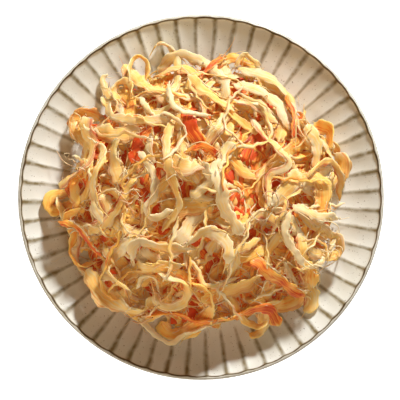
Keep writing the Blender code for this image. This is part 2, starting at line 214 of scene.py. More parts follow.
# %% Scoop the flutes
# MID_WALL is the middle of the wall's thickness, as radii and heights. What lies above it is the inside.
# WEAR_NEXT sets the wear of one ridge apart from that of the next.
FLUTE_DEPTH = 1.6 * MM
WALL_FROM = 71 * MM
WALL_FULL = 76 * MM
LIP = 97.8 * MM
RIM_MIDDLE = 99.3 * MM
RIM_OUTSIDE = 99.9 * MM
SCALLOP_FROM = 86 * MM
SCALLOP_SHARE = 0.45
RIDGE_LINE = 1.9 * MM
LIP_LINE = 0.65 * MM
OUTER_LINE = 0.4 * MM
RIDGE_THINNESS = 0.44
RIDGE_THINNER_AT_RIM = 0.14
RIDGE_NARROW = 0.7
RIDGE_WIDER_AT_RIM = 0.4
OUTER_THINNESS = 0.7
BAND_THINNESS = 0.3
WEAR_LEAST = 0.75
WEAR_MORE = 0.5
WEAR_SIZE = 9 * MM
WEAR_NEXT = 3.1
MID_WALL = ([60, 75, 82, 88, 94, 98.6, 100], [6, 7, 9, 11.6, 15, 18.6, 19.3])


def ramp(value, low, high):
    t = min(1, max(0, (value - low) / (high - low)))
    return t * t * (3 - 2 * t)


thin = plate_shape.verts.layers.float.new("thin_glaze")
for vert in plate_shape.verts:
    radius = math.hypot(vert.co.x, vert.co.y)
    turn = (math.atan2(vert.co.y, vert.co.x) - FIRST_RIDGE) / math.tau * FLUTES
    across = turn % 1
    number = int(turn // 1)
    scoop = 1 - (2 * across - 1) ** 2
    to_ridge = min(across, 1 - across) * math.tau * radius / FLUTES
    if radius < WALL_FROM or vert.co.z < np.interp(radius / MM, *MID_WALL) * MM:
        continue
    towards_rim = min(1, max(0, (radius - LIP) / (RIM_MIDDLE - LIP)))
    wall = ramp(radius, WALL_FROM, WALL_FULL) * (1 - towards_rim)
    wear = WEAR_LEAST + WEAR_MORE * noise.noise(Vector((number * WEAR_NEXT, radius / WEAR_SIZE, 0)))
    fan = ramp(radius, WALL_FULL, LIP)
    ridge_line = RIDGE_LINE * wear * (RIDGE_NARROW + RIDGE_WIDER_AT_RIM * fan)
    ridge = math.exp(-((to_ridge / ridge_line) ** 2)) * wall
    lip = math.exp(-(((radius - LIP) / (LIP_LINE * wear)) ** 2))
    outer = OUTER_THINNESS * math.exp(-(((radius - RIM_OUTSIDE) / (OUTER_LINE * wear)) ** 2))
    near_rim = ramp(radius, SCALLOP_FROM, LIP)
    ridge *= RIDGE_THINNESS + RIDGE_THINNER_AT_RIM * fan
    vert[thin] = max(ridge, lip, outer, BAND_THINNESS * towards_rim)
    depth = FLUTE_DEPTH * (1 - (1 - SCALLOP_SHARE) * near_rim)
    pushed = (radius + depth * scoop * wall) / max(radius, 1e-6)
    vert.co.x *= pushed
    vert.co.y *= pushed
bmesh.ops.recalc_face_normals(plate_shape, faces=plate_shape.faces[:])
plate = make_piece("fluted_plate", plate_shape)
print("plate faces:", len(plate.data.polygons))

# %% [markdown]
# ## The glaze
# A milky beige glaze over iron-rich clay: softly glossy, slightly uneven in tone, with fine dark specks,
# olive-brown on the ridges and darker brown round the scalloped lip. The shader mixes those three by the
# stored thinness and by noise that is broken up at two scales.

# %% A helper for materials
def new_material(name):
    """A material with its node tree, its shader, and a short way to add and link nodes."""
    material = bpy.data.materials.new(name)
    material.use_nodes = True
    nodes = material.node_tree.nodes
    links = material.node_tree.links

    def add(kind, inputs=(), **settings):
        node = nodes.new("ShaderNode" + kind)
        for key, value in settings.items():
            setattr(node, key, value)
        for key, value in dict(inputs).items():
            if isinstance(value, bpy.types.NodeSocket):
                links.new(value, node.inputs[key])
            else:
                node.inputs[key].default_value = value
        return node

    return material, nodes["Principled BSDF"], add, links


def mix(add, share, first, second):
    """The colour that lies the given share of the way from the first to the second."""
    node = add("Mix", data_type="RGBA")
    for socket, value in zip((node.inputs[0], node.inputs[6], node.inputs[7]), (share, first, second)):
        if isinstance(value, bpy.types.NodeSocket):
            node.id_data.links.new(value, socket)
        else:
            socket.default_value = value
    return node.outputs[2]


def spread(add, value, low, high, to_low=0.0, to_high=1.0):
    """Takes low..high to to_low..to_high, held at both ends."""
    node = add("MapRange", {"From Min": low, "From Max": high, "To Min": to_low, "To Max": to_high})
    node.id_data.links.new(value, node.inputs["Value"])
    return node.outputs["Result"]


print("material helpers ready")

# %% [markdown]
# The glaze's colours are those of its thick, middling and thin parts. Where it is thin it is also
# rougher, and a clear coat stands for the gloss of the melted surface.

# %% Glaze
MILKY_DARKER = (0.745, 0.735, 0.67, 1)
MILKY_LIGHTER = (0.825, 0.83, 0.79, 1)
SPECK = (0.16, 0.10, 0.05, 1)
OLIVE = (0.23, 0.18, 0.09, 1)
BROWN = (0.055, 0.030, 0.012, 1)
glaze, shader, add, links = new_material("speckled_glaze")
place = add("TexCoord").outputs["Object"]
cloud = add("TexNoise", {"Vector": place, "Scale": 45, "Detail": 3}).outputs["Fac"]
specks = add("TexNoise", {"Vector": place, "Scale": 1100, "Detail": 1}).outputs["Fac"]
thinness = add("Attribute", attribute_name="thin_glaze").outputs["Fac"]
breakup = add("TexNoise", {"Vector": place, "Scale": 260, "Detail": 3}).outputs["Fac"]
uneven = spread(add, breakup, 0.3, 0.7, 0.7, 1.25)
worn = add("Math", {0: thinness, 1: uneven}, operation="MULTIPLY").outputs[0]
milky = mix(add, spread(add, cloud, 0.35, 0.65), MILKY_DARKER, MILKY_LIGHTER)
speckled = mix(add, spread(add, specks, 0.70, 0.76, 0.0, 0.75), milky, SPECK)
olive = mix(add, spread(add, worn, 0.08, 0.55), speckled, OLIVE)
brown = mix(add, spread(add, worn, 0.55, 0.95), olive, BROWN)
links.new(brown, shader.inputs["Base Color"])
links.new(spread(add, worn, 0.2, 0.9, 0.32, 0.5), shader.inputs["Roughness"])
ripple = add("Bump", {"Height": cloud, "Strength": 0.25, "Distance": 0.0008})
links.new(ripple.outputs["Normal"], shader.inputs["Normal"])
set_values(shader, {"Coat Weight": 0.3, "Coat Roughness": 0.2})
plate.data.materials.append(glaze)
print("glaze nodes:", len(glaze.node_tree.nodes))

# %% [markdown]
# ## What the shreds lie on
# Shreds pressed together under the rest form a rough dome, and the outer ones lie on it and on the
# plate's wall. The height of the heap's top is kept for each small square of the plan, and each shred
# raises it where it lands.

# %% The bed of the heap
GAP = 0.5 * MM
FLOOR_TOP = 8 * MM
WALL_INSIDE = [(73 * MM, 8 * MM), (84 * MM, 12 * MM), (96.2 * MM, 18 * MM), (98.4 * MM, 20.5 * MM)]
CORE_RADIUS = 72 * MM
CORE_HEIGHT = 45 * MM
CORE_SHAPE = (2.1, 0.68)
LUMP_HEIGHT = 7 * MM
LUMP_SIZE = 24 * MM
LUMP_FADE = 3
SLOPE_REACH = 5 * MM
CELL = 1.5 * MM
GRID_HALF = 66


def plate_top(radius):
    """Height of the plate's inside along a ridge."""
    if radius <= WALL_INSIDE[0][0]:
        return WALL_INSIDE[0][1]
    for (r0, z0), (r1, z1) in zip(WALL_INSIDE, WALL_INSIDE[1:]):
        if radius <= r1:
            return z0 + (z1 - z0) * (radius - r0) / (r1 - r0)
    return WALL_INSIDE[-1][1]


def core_top(x, y):
    """Height of the lumpy dome that the outer shreds lie on."""
    reach = math.hypot(x, y) / CORE_RADIUS
    if reach >= 1:
        return FLOOR_TOP + GAP
    spread_out, steepness = CORE_SHAPE
    dome = CORE_HEIGHT * (1 - reach**spread_out) ** steepness
    lump = LUMP_HEIGHT * noise.noise(Vector((x, y, 0)) / LUMP_SIZE)
    return FLOOR_TOP + GAP + dome + lump * min(1, LUMP_FADE * (1 - reach))


def bed(x, y, below=0.0):
    """What a shred comes to rest on where no other lies yet; below lowers the dome."""
    return max(core_top(x, y) - below, plate_top(math.hypot(x, y)) + GAP)


def bed_normal(x, y):
    slope_x = (bed(x + SLOPE_REACH, y) - bed(x - SLOPE_REACH, y)) / (2 * SLOPE_REACH)
    slope_y = (bed(x, y + SLOPE_REACH) - bed(x, y - SLOPE_REACH)) / (2 * SLOPE_REACH)
    return Vector((-slope_x, -slope_y, 1)).normalized()


def make_heap_tops(below=0.0):
    cells = range(-GRID_HALF, GRID_HALF + 1)
    return {(i, j): bed(i * CELL, j * CELL, below) for i in cells for j in cells}


def cell_of(point):
    return (
        max(-GRID_HALF, min(GRID_HALF, round(point[0] / CELL))),
        max(-GRID_HALF, min(GRID_HALF, round(point[1] / CELL))),
    )


print("dome top:", round(core_top(0, 0) / MM, 1), "mm")

# %% [markdown]
# ## How a shred is laid
# Each shred has a route over the heap, seen from above. Along it the shred rests on its highest supports,
# sags a little between them, digs into narrow peaks, and follows the heap's slope with a roll and a twist
# of its own. The result is a frame at each step: a centre, the way across the ribbon and the way through
# it.

# %% Routes and frames
ROUTE_STEP = 2 * MM
CURVE_STEPS = 12
SWEEPS = 40
SAMPLES_ACROSS = 5
END_DROP = 1 * MM
SAG = 0.1 * MM
SINK = 0.5 * MM
PRESS = 3 * MM
PRESS_REACH = 4
TWIST = math.radians(26)
Shred = namedtuple("Shred", "look width thick roll twist lift route")


def even(dense):
    """The same curve with points at even steps along it."""
    lengths = [0.0]
    for a, b in zip(dense, dense[1:]):
        lengths.append(lengths[-1] + (b - a).length)
    count = max(4, round(lengths[-1] / ROUTE_STEP))
    route = []
    k = 0
    for n in range(count + 1):
        target = lengths[-1] * n / count
        while k < len(dense) - 2 and lengths[k + 1] < target:
            k += 1
        share = (target - lengths[k]) / max(lengths[k + 1] - lengths[k], 1e-9)
        route.append(dense[k].lerp(dense[k + 1], share))
    return route


def pressed(supports):
    """A soft shred digs into a narrow peak, which then stands only a little above what is round it."""
    result = []
    for k, height in enumerate(supports):
        near = supports[max(0, k - PRESS_REACH) : k + PRESS_REACH + 1]
        result.append(min(height, sum(near) / len(near) + PRESS))
    return result


def lay(shred, tops):
    """Drops a shred on the heap and returns its frames."""
    count = len(shred.route)
    sides = []
    supports = []
    across = [shred.width * (k / (SAMPLES_ACROSS - 1) - 0.5) for k in range(SAMPLES_ACROSS)]
    for k, (x, y) in enumerate(shred.route):
        ahead = shred.route[min(k + 1, count - 1)] - shred.route[max(k - 1, 0)]
        up = bed_normal(x, y)
        tangent = Vector((ahead.x, ahead.y, 0))
        tangent = (tangent - up * tangent.dot(up)).normalized()
        roll = shred.roll + shred.twist * (2 * k / (count - 1) - 1)
        side = Matrix.Rotation(roll, 3, tangent) @ tangent.cross(up)
        sides.append(side)
        half = shred.thick / 2
        supports.append(
            max(tops[cell_of((x + side.x * d, y + side.y * d))] - side.z * d + half for d in across)
        )
    supports = pressed(supports)
    heights = supports[:]
    for _ in range(SWEEPS):
        for k in range(1, count - 1):
            heights[k] = max(supports[k], (heights[k - 1] + heights[k + 1]) / 2 - SAG)
        heights[0] = max(supports[0], heights[1] - END_DROP)
        heights[-1] = max(supports[-1], heights[-2] - END_DROP)
    centres = []
    for k, (x, y) in enumerate(shred.route):
        arch = shred.lift * math.sin(math.pi * k / (count - 1))
        centres.append(Vector((x, y, heights[k] + arch - SINK)))
        for d in across:
            cell = cell_of((x + sides[k].x * d, y + sides[k].y * d))
            tops[cell] = max(tops[cell], centres[k].z + sides[k].z * d + shred.thick / 2)
    frames = []
    for k, centre in enumerate(centres):
        along = (centres[min(k + 1, count - 1)] - centres[max(k - 1, 0)]).normalized()
        side = (sides[k] - along * sides[k].dot(along)).normalized()
        frames.append((centre, side, side.cross(along)))
    return frames


print("a shred is laid in", SWEEPS, "sweeps")

# %% [markdown]
# ## The shreds that can be followed
# Seen from above, some shreds can be followed from end to end. Each is a look, a width, a roll, a lift
# and a route, in millimetres and degrees, in the order in which they were dropped. Amber ribbons are the
# squid's dense outside, cream and pale ones its inside, and the skin-edged ones still have some of its
# reddish skin. What stands above the rim shows a little too far out and too far up in the picture, and
# the routes are drawn in to allow for that.

# %% The routes, from the lowest to the topmost
NAMED_SHREDS = [
    ("red", 8, 0, 0, [(-37, 18), (-34, 30), (-26, 38)]),
    ("red", 8, 0, 0, [(-8, 48), (-5, 36), (1, 26)]),
    ("amber", 11, 0, 0, [(-22, -7), (-8, -6), (7, -5)]),
    ("amber", 11, 15, 0, [(0, -56), (18, -51), (34, -42)]),
    ("amber", 9, 10, 0, [(25, -57), (37, -60), (48, -58), (56, -52)]),
    ("amber", 8, 20, 1, [(54, -36), (59, -41), (60, -50)]),
    ("amber", 8, -20, 1, [(-69, 13), (-70, 6), (-68, -2), (-64, -9)]),
    ("amber", 10, 20, 1, [(60, 14), (66, 2), (65, -11)]),
    ("cream", 9, 10, 1, [(-58, 36), (-46, 33), (-33, 36)]),
    ("cream", 8, -10, 1, [(-25, 66), (-10, 70), (3, 63)]),
    ("cream", 9, 0, 2, [(-19, 23), (-8, 15), (2, 18)]),
    ("skin", 10, -25, 2, [(-77, 5), (-66, 13), (-59, 24), (-64, 43)]),
    ("cream", 8, 0, 1, [(-47, 31), (-48, 20), (-44, 7)]),
    ("cream", 10, 20, 2, [(-62, -40), (-55, -52), (-44, -60), (-33, -63), (-23, -55)]),
    ("rind", 7, 20, 1, [(-30, -66), (-17, -63), (-3, -68), (14, -67), (34, -61), (43, -70)]),
    ("white", 3, 30, 1, [(-34, -66), (-27, -73), (-18, -80), (-10, -76), (5, -70)]),
    ("cream", 5, 50, 2, [(-45, 52), (-48, 57), (-44, 62), (-38, 60), (-38, 54)]),
    ("skin", 4, 10, 1, [(-30, 47), (-23, 45), (-17, 48), (-14, 50)]),
    ("pale", 4, 20, 1, [(45, -36), (49, -44), (52, -51)]),
    ("pale", 3, 40, 2, [(-35, -50), (-31, -44), (-25, -45), (-23, -52)]),
    ("cream", 5, 50, 2, [
        (-23, -42), (-16, -45), (-8, -48), (-8, -55), (-13, -60), (-22, -59), (-26, -52),
    ]),
    ("cream", 5, 20, 1, [(-53, -27), (-50, -34), (-51, -40), (-46, -46), (-39, -51)]),
    ("amber", 5, 65, 1, [(-58, -36), (-66, -38), (-71, -31), (-69, -20), (-72, -11), (-65, -7)]),
    ("rind", 4, 0, 2, [(-77, -14), (-66, -18), (-60, -27), (-53, -34)]),
    ("cream", 5, 65, 3, [(-39, 62), (-39, 71), (-34, 77), (-29, 72), (-31, 62)]),
    ("pale", 6, 20, 2, [(-24, 70), (-11, 78), (4, 71), (12, 63), (13, 53)]),
    ("pale", 7, -15, 1, [(20, 70), (37, 63), (49, 52), (53, 37), (60, 25)]),
    ("red", 3, 0, 1, [(-2, 64), (5, 70), (12, 76)]),
    ("pale", 3, 30, 2, [(19, 70), (24, 77), (32, 69)]),
    ("pale", 7, 15, 1, [(17, 62), (32, 57), (43, 48), (49, 36)]),
    ("pale", 8, 20, 2, [(57, 38), (63, 27), (62, 14)]),
    ("amber", 8, 30, 2, [(62, 40), (70, 36), (71, 26)]),
    ("skin", 4, 30, 2, [(56, 8), (66, 18), (75, 14), (76, -2)]),
    ("skin", 5, 0, 1, [(18, 52), (30, 49), (42, 40)]),
    ("pale", 9, 20, 2, [(38, -6), (46, 4), (55, 12)]),
    ("pale", 6, 0, 2, [(50, -5), (62, -11), (74, -13)]),
    ("white", 3, 0, 2, [(54, -40), (65, -36), (73, -22)]),
    ("rind", 7, 15, 2, [(27, -34), (38, -43), (56, -55)]),
    ("skin", 4, 0, 2, [(-33, 13), (-38, 9), (-43, -2), (-48, -10), (-54, -18)]),
    ("skin", 3, 0, 2, [(-7, -33), (-2, -41), (3, -49), (11, -48), (21, -44)]),
    ("cream", 5, 30, 2, [(14, -39), (17, -32), (25, -28), (32, -23)]),
    ("white", 3, 20, 2, [(-34, 54), (-31, 51), (-29, 47), (-25, 43)]),
    ("pale", 3, 0, 1, [(-9, -2), (-1, -1), (7, -2)]),
    ("pale", 5, 20, 2, [(-54, 54), (-47, 43), (-33, 41), (-15, 41)]),
    ("pale", 5, 0, 2, [(-57, 29), (-53, 22), (-58, 9), (-58, -3), (-54, -15)]),
    ("pale", 6, 30, 2, [(-38, -35), (-34, -25), (-22, -28), (-5, -29)]),
    ("pale", 7, 20, 2, [(-8, -26), (3, -20), (14, -25), (14, -37)]),
    ("skin", 5, 0, 3, [(8, -13), (22, -18), (32, -10), (43, -16)]),
    ("red", 3, 0, 3, [(46, 54), (50, 44), (50, 31)]),
    ("skin", 4, 0, 3, [(26, 45), (36, 31), (48, 18), (37, 10), (37, -6)]),
    ("cream", 6, 0, 2, [(-7, 66), (2, 57), (18, 46)]),
    ("red", 4, 0, 3, [(-8, 24), (0, 27), (13, 21)]),
    ("white", 3, 0, 3, [(-18, 60), (-15, 49), (-6, 45), (5, 44)]),
    ("cream", 5, 20, 3, [(-16, 42), (-19, 26), (-16, 9), (-12, -4), (-21, -19)]),
    ("white", 5, 10, 1, [(1, 18), (5, 8), (-6, 0)]),
    ("white", 4, 20, 3, [(-34, 24), (-28, 17), (-25, 1), (-31, -6), (-26, -12), (-15, -8)]),
    ("white", 4, 30, 3, [(49, -8), (45, -19), (49, -27), (55, -39)]),
    ("white", 7, 10, 1, [(18, 29), (10, 18), (10, 5), (14, -8), (22, -21)]),
]
THICKNESS = {
    "red": 1.6 * MM, "rind": 2.0 * MM, "skin": 2.0 * MM, "amber": 1.8 * MM, "cream": 2.0 * MM,
    "pale": 2.2 * MM, "white": 2.2 * MM,
}
PILE = 8 * MM
CAMERA_HEIGHT = 1.09
CAMERA_LEAN = 0.052


def true_place(x, y):
    """Where a shred lies that the photograph shows at this place of the rim's plane."""
    rise = max(0, core_top(x, y) + PILE - WALL_INSIDE[-1][1])
    closer = 1 - rise / CAMERA_HEIGHT
    return (x * closer, (y - rise * CAMERA_LEAN) * closer)


def named_shreds():
    for n, (look, width, roll, lift, points) in enumerate(NAMED_SHREDS):
        route = even(through([true_place(x * MM, y * MM) for x, y in points], CURVE_STEPS))
        twist = TWIST if n % 2 else -TWIST
        yield Shred(look, width * MM, THICKNESS[look], math.radians(roll), twist, lift * MM, route)


print("followed shreds:", len(NAMED_SHREDS))

# %% [markdown]
# ## The shreds under them
# Most of the heap lies out of sight or shows only in gaps. Those shreds are spread evenly, by the golden
# angle, and each wanders as a curve whose bend sways and that turns back at the heap's edge.

# %% Shreds by rule
RULE_SHREDS = 48
RULE_SEED = 7
RULE_REACH = 77 * MM
RULE_CROWDING = 0.44
RULE_LOOKS = ["pale", "amber", "cream", "amber", "skin", "pale", "cream"]
RULE_LENGTH = (42 * MM, 72 * MM)
RULE_WIDTH = (4 * MM, 9 * MM)
RULE_ROLL = math.radians(40)
RULE_LIFT = 2 * MM
TURN_RADIUS = 20 * MM
SWAY = (0.4, 1.0)
SWAY_RADIUS = 16 * MM
SWAY_STRIDE = 9 * MM
TURN_BACK_AT = 0.9
TURN_BACK_SOFTNESS = 5 * MM
TURN_BACK_RADIUS = 12 * MM
GOLDEN_ANGLE = math.pi * (3 - math.sqrt(5))


def wander(middle, heading, length, turn, sway_by, phase):
    """A curve through its middle point whose curvature sways, kept within the heap's reach."""
    halves = []
    for way in (1, -1):
        place = middle.copy()
        angle = heading + (0 if way == 1 else math.pi)
        half = []
        for k in range(int(length / 2 / ROUTE_STEP)):
            along = way * k * ROUTE_STEP
            bend = way * (turn + sway_by * math.sin(along / SWAY_STRIDE + phase))
            outward = math.atan2(place.y, place.x) - angle
            past = max(0, place.length - TURN_BACK_AT * RULE_REACH) / TURN_BACK_SOFTNESS
            bend -= past * math.sin(outward) / TURN_BACK_RADIUS
            angle += bend * ROUTE_STEP
            place = place + ROUTE_STEP * Vector((math.cos(angle), math.sin(angle)))
            half.append(place)
        halves.append(half)
    return even([*halves[1][::-1], middle, *halves[0]])


def rule_shreds(count, seed, looks, widths, lengths, reach_most=RULE_REACH, thick=None):
    """So many wandering shreds, spread evenly over the heap."""
    draw = random.Random(seed)
    for n in range(count):
        look = looks[n % len(looks)]
        reach = reach_most * ((n + 0.5) / count) ** RULE_CROWDING
        middle = Vector((math.cos(n * GOLDEN_ANGLE), math.sin(n * GOLDEN_ANGLE))) * reach
        heading = draw.uniform(0, math.tau)
        length = draw.uniform(*lengths)
        turn = draw.uniform(-1, 1) / TURN_RADIUS
        sway_by = draw.uniform(*SWAY) / SWAY_RADIUS
        width = draw.uniform(*widths)
        roll = draw.uniform(-1, 1) * RULE_ROLL
        twist = draw.uniform(-2, 2) * TWIST
        lift = draw.uniform(0, 1) * RULE_LIFT
        route = wander(middle, heading, length, turn, sway_by, draw.uniform(0, math.tau))
        yield Shred(look, width, thick or THICKNESS[look], roll, twist, lift, route)


print("shreds by rule:", RULE_SHREDS)

# %% [markdown]
# ## Dropping them all
# First come the shreds by rule and then the ones that can be followed. The gaps between them are filled
# from below with a bed of small shreds and from the sides with torn strands, both kept under what already
# lies there. A few fine loose strands fall on top of everything.

# %% Drop the shreds
BED_BELOW = 4 * MM
BED_UNDER = 0.2 * MM
STRAND_UNDER = 0.1 * MM
LEAST_UNDER = 3


def kept_under(shred, frames, tops_now, under):
    """The longest stretch with room over the plate, lowered to stay under the heap's top."""
    stretches = [[]]
    half = shred.thick / 2
    reach = [shred.width * share for share in (-0.5, -0.25, 0, 0.25, 0.5)]
    for centre, side, out in frames:
        ceiling = min(tops_now[cell_of(centre + side * d)] - side.z * d for d in reach) - half - under
        lowest = max(plate_top((centre + side * d).xy.length) - side.z * d for d in reach) + half + GAP
        if ceiling < lowest:
            stretches.append([])
        else:
            stretches[-1].append((Vector((centre.x, centre.y, min(centre.z, ceiling))), side, out))
    return max(stretches, key=len)


def drop_under(shreds, own_tops, tops_now, under):
    """Lays the given shreds on own_tops and keeps what fits under tops_now."""
    kept = [(shred, kept_under(shred, lay(shred, own_tops), tops_now, under)) for shred in shreds]
    return [(shred, frames) for shred, frames in kept if len(frames) > LEAST_UNDER]


tops = make_heap_tops()
laid = []
for shred in rule_shreds(RULE_SHREDS, RULE_SEED, RULE_LOOKS, RULE_WIDTH, RULE_LENGTH):
    laid.append((shred, lay(shred, tops)))
strand_tops = dict(tops)
for shred in named_shreds():
    laid.append((shred, lay(shred, tops)))

bed_shreds = rule_shreds(
    count=250, seed=21, looks=["amber", "rind", "amber", "cream", "red", "amber", "rind"],
    widths=(4 * MM, 9 * MM), lengths=(30 * MM, 52 * MM), reach_most=72 * MM,
)
laid_bed = drop_under(bed_shreds, make_heap_tops(BED_BELOW), tops, BED_UNDER)
strands = rule_shreds(
    count=150, seed=33, looks=["cream", "amber", "skin", "pale", "amber", "cream"],
    widths=(1.8 * MM, 3.8 * MM), lengths=(26 * MM, 60 * MM), reach_most=74 * MM, thick=1.3 * MM,
)
laid_strands = drop_under(strands, strand_tops, tops, STRAND_UNDER)
loose = rule_shreds(
    count=36, seed=52, looks=["pale", "skin", "cream", "amber", "skin", "pale"],
    widths=(1.0 * MM, 2.4 * MM), lengths=(22 * MM, 48 * MM), reach_most=68 * MM, thick=1.0 * MM,
)
laid_loose = [(shred, lay(shred, tops)) for shred in loose]
print("laid:", len(laid_bed), len(laid), len(laid_strands), len(laid_loose))
print("heap's top:", round(max(tops.values()) / MM, 1), "mm")

# %% [markdown]
# ## One tube, repeated
# Every shred and fibre starts as the same straight tube. Its copies are joined into one piece for each
# kind, and then each copy's points are put where its shred lies. The tube keeps, for each point, its row
# along the shred and its place round it.

# %% A tube to repeat
CLEAR_OF_PLATE = 0.3 * MM


def make_tube(around, rows):
    """A straight tube as a mesh, with the row and the angle of each of its points."""
    shape = bmesh.new()
    bmesh.ops.create_cone(shape, cap_ends=True, segments=around, radius1=1, radius2=1, depth=1)
    long_edges = [e for e in shape.edges if abs(e.verts[0].co.z - e.verts[1].co.z) > 0.5]
    bmesh.ops.subdivide_edges(shape, edges=long_edges, cuts=rows - 2, use_grid_fill=True)
    bmesh.ops.recalc_face_normals(shape, faces=shape.faces[:])
    mesh = bpy.data.meshes.new("tube")
    shape.to_mesh(mesh)
    shape.free()
    spots = np.empty(len(mesh.vertices) * 3)
    mesh.vertices.foreach_get("co", spots)
    spots = spots.reshape(-1, 3)
    row = np.rint((spots[:, 2] + 0.5) * (rows - 1)).astype(int)
    return mesh, row, np.arctan2(spots[:, 1], spots[:, 0])


def plate_tops(radii):
    """plate_top for a whole array of radii."""
    return np.interp(radii, [r for r, _ in WALL_INSIDE], [z for _, z in WALL_INSIDE])


def join_copies(name, tube, spots, fibre, finish):
    """One piece from as many copies of the tube as there are rows of spots, kept clear of the plate."""
    copies = len(spots)
    shape = bmesh.new()
    for _ in range(copies):
        shape.from_mesh(tube[0])
    piece = make_piece(name, shape)
    mesh = piece.data
    spots = spots.reshape(-1, 3)
    lowest = plate_tops(np.hypot(spots[:, 0], spots[:, 1])) + CLEAR_OF_PLATE
    spots[:, 2] = np.maximum(spots[:, 2], lowest)
    mesh.vertices.foreach_set("co", spots.ravel())
    for title, values in (("fibre", fibre), ("finish", finish)):
        layer = mesh.attributes.new(title, "FLOAT_VECTOR", "POINT")
        layer.data.foreach_set("vector", values.reshape(-1).astype(np.float32))
    mesh.update()
    print(name, "copies", copies, "faces", len(mesh.polygons))
    return piece


RIBBON = make_tube(around=14, rows=60)
BED_RIBBON = make_tube(around=8, rows=26)
STRAND = make_tube(around=6, rows=30)
THREAD = make_tube(around=4, rows=11)
print("points in a ribbon:", len(RIBBON[1]), "in a thread:", len(THREAD[1]))

# %% [markdown]
# ## From frames to a torn ribbon
# A torn ribbon is never even: its two edges wander apart and together on their own, it cups, its ends
# fray to a point, and it crinkles as it dries. All of that is smooth random sway along the ribbon's
# length.

# %% Ribbons
# Each sway is its longest wave and its size. Sizes without a unit are shares of what they change.
# NEXT_STREAKS sets the streaks of one shred apart from those of the next.
ROLL_SWAY = (34 * MM, 0.35)
SIDE_SWAY = (20 * MM, 0.6 * MM)
OUT_SWAY = (22 * MM, 0.35 * MM)
LEFT_SWAY = (21 * MM, 0.30)
RIGHT_SWAY = (25 * MM, 0.30)
EDGE_SWAY = (6 * MM, 0.09)
THICK_SWAY = (18 * MM, 0.20)
CUP_SWAY = (30 * MM, 0.16)
GRAIN_SWAY = (26 * MM, 2.2)
TONE_SWAY = (40 * MM, 0.12)
CUP = 0.30
GRAIN = 0.26
GRAIN_STEP = 0.62 * MM
DRIED_THINNER = 0.75
END_REACH = (1.5 * MM, 6 * MM)
END_REACH_SHARE = 0.25
END_WIDTH = 0.30
END_THICKNESS = 0.45
PALE_EDGE = 0.65
PALE_END = 0.8
SKIN_FROM = 0.15
SKIN_FADE = 0.6
NEXT_STREAKS = 0.731


def sway(along, draw, longest, amount, times=1.0):
    """A smooth random wobble along each of many shreds. along has one row for each shred, in metres."""
    total = np.zeros_like(along)
    for share, size in ((0.55, 1.0), (0.35, 0.52), (0.22, 0.27)):
        pace = draw.uniform(0.8, 1.25, (len(along), 1))
        phase = draw.uniform(0, math.tau, (len(along), 1))
        total += share * np.sin(math.tau * along * pace / (longest * size) + phase)
    return amount * times * total


def soft_step(values):
    t = np.clip(values, 0, 1)
    return t * t * (3 - 2 * t)


def unit(vectors):
    return vectors / np.maximum(np.linalg.norm(vectors, axis=-1, keepdims=True), 1e-12)


def as_table(frames):
    """One shred's frames as rows of nine numbers: its centre, the way across it and the way out."""
    return np.array([[*centre, *side, *out] for centre, side, out in frames])


def rows_at(table, where):
    """The table's rows at places that may lie between two of them."""
    return np.stack([np.interp(where, range(len(table)), column) for column in table.T], axis=1)


def iron_out(heights, times):
    """Takes small kinks out of the heights along a line."""
    for _ in range(times):
        heights[1:-1] = 0.25 * heights[:-2] + 0.5 * heights[1:-1] + 0.25 * heights[2:]


def lengths_along(lines):
    """How far along its line each point lies, for an array of line, row and place."""
    steps = np.linalg.norm(np.diff(lines, axis=1), axis=2)
    return np.concatenate([np.zeros((len(lines), 1)), np.cumsum(steps, axis=1)], axis=1)


def resampled(frames, rows):
    """The frames of one shred at so many even steps, with small kinks in its height ironed out."""
    table = as_table(frames)
    iron_out(table[:, 2], 2)
    return rows_at(table, np.linspace(0, len(table) - 1, rows))


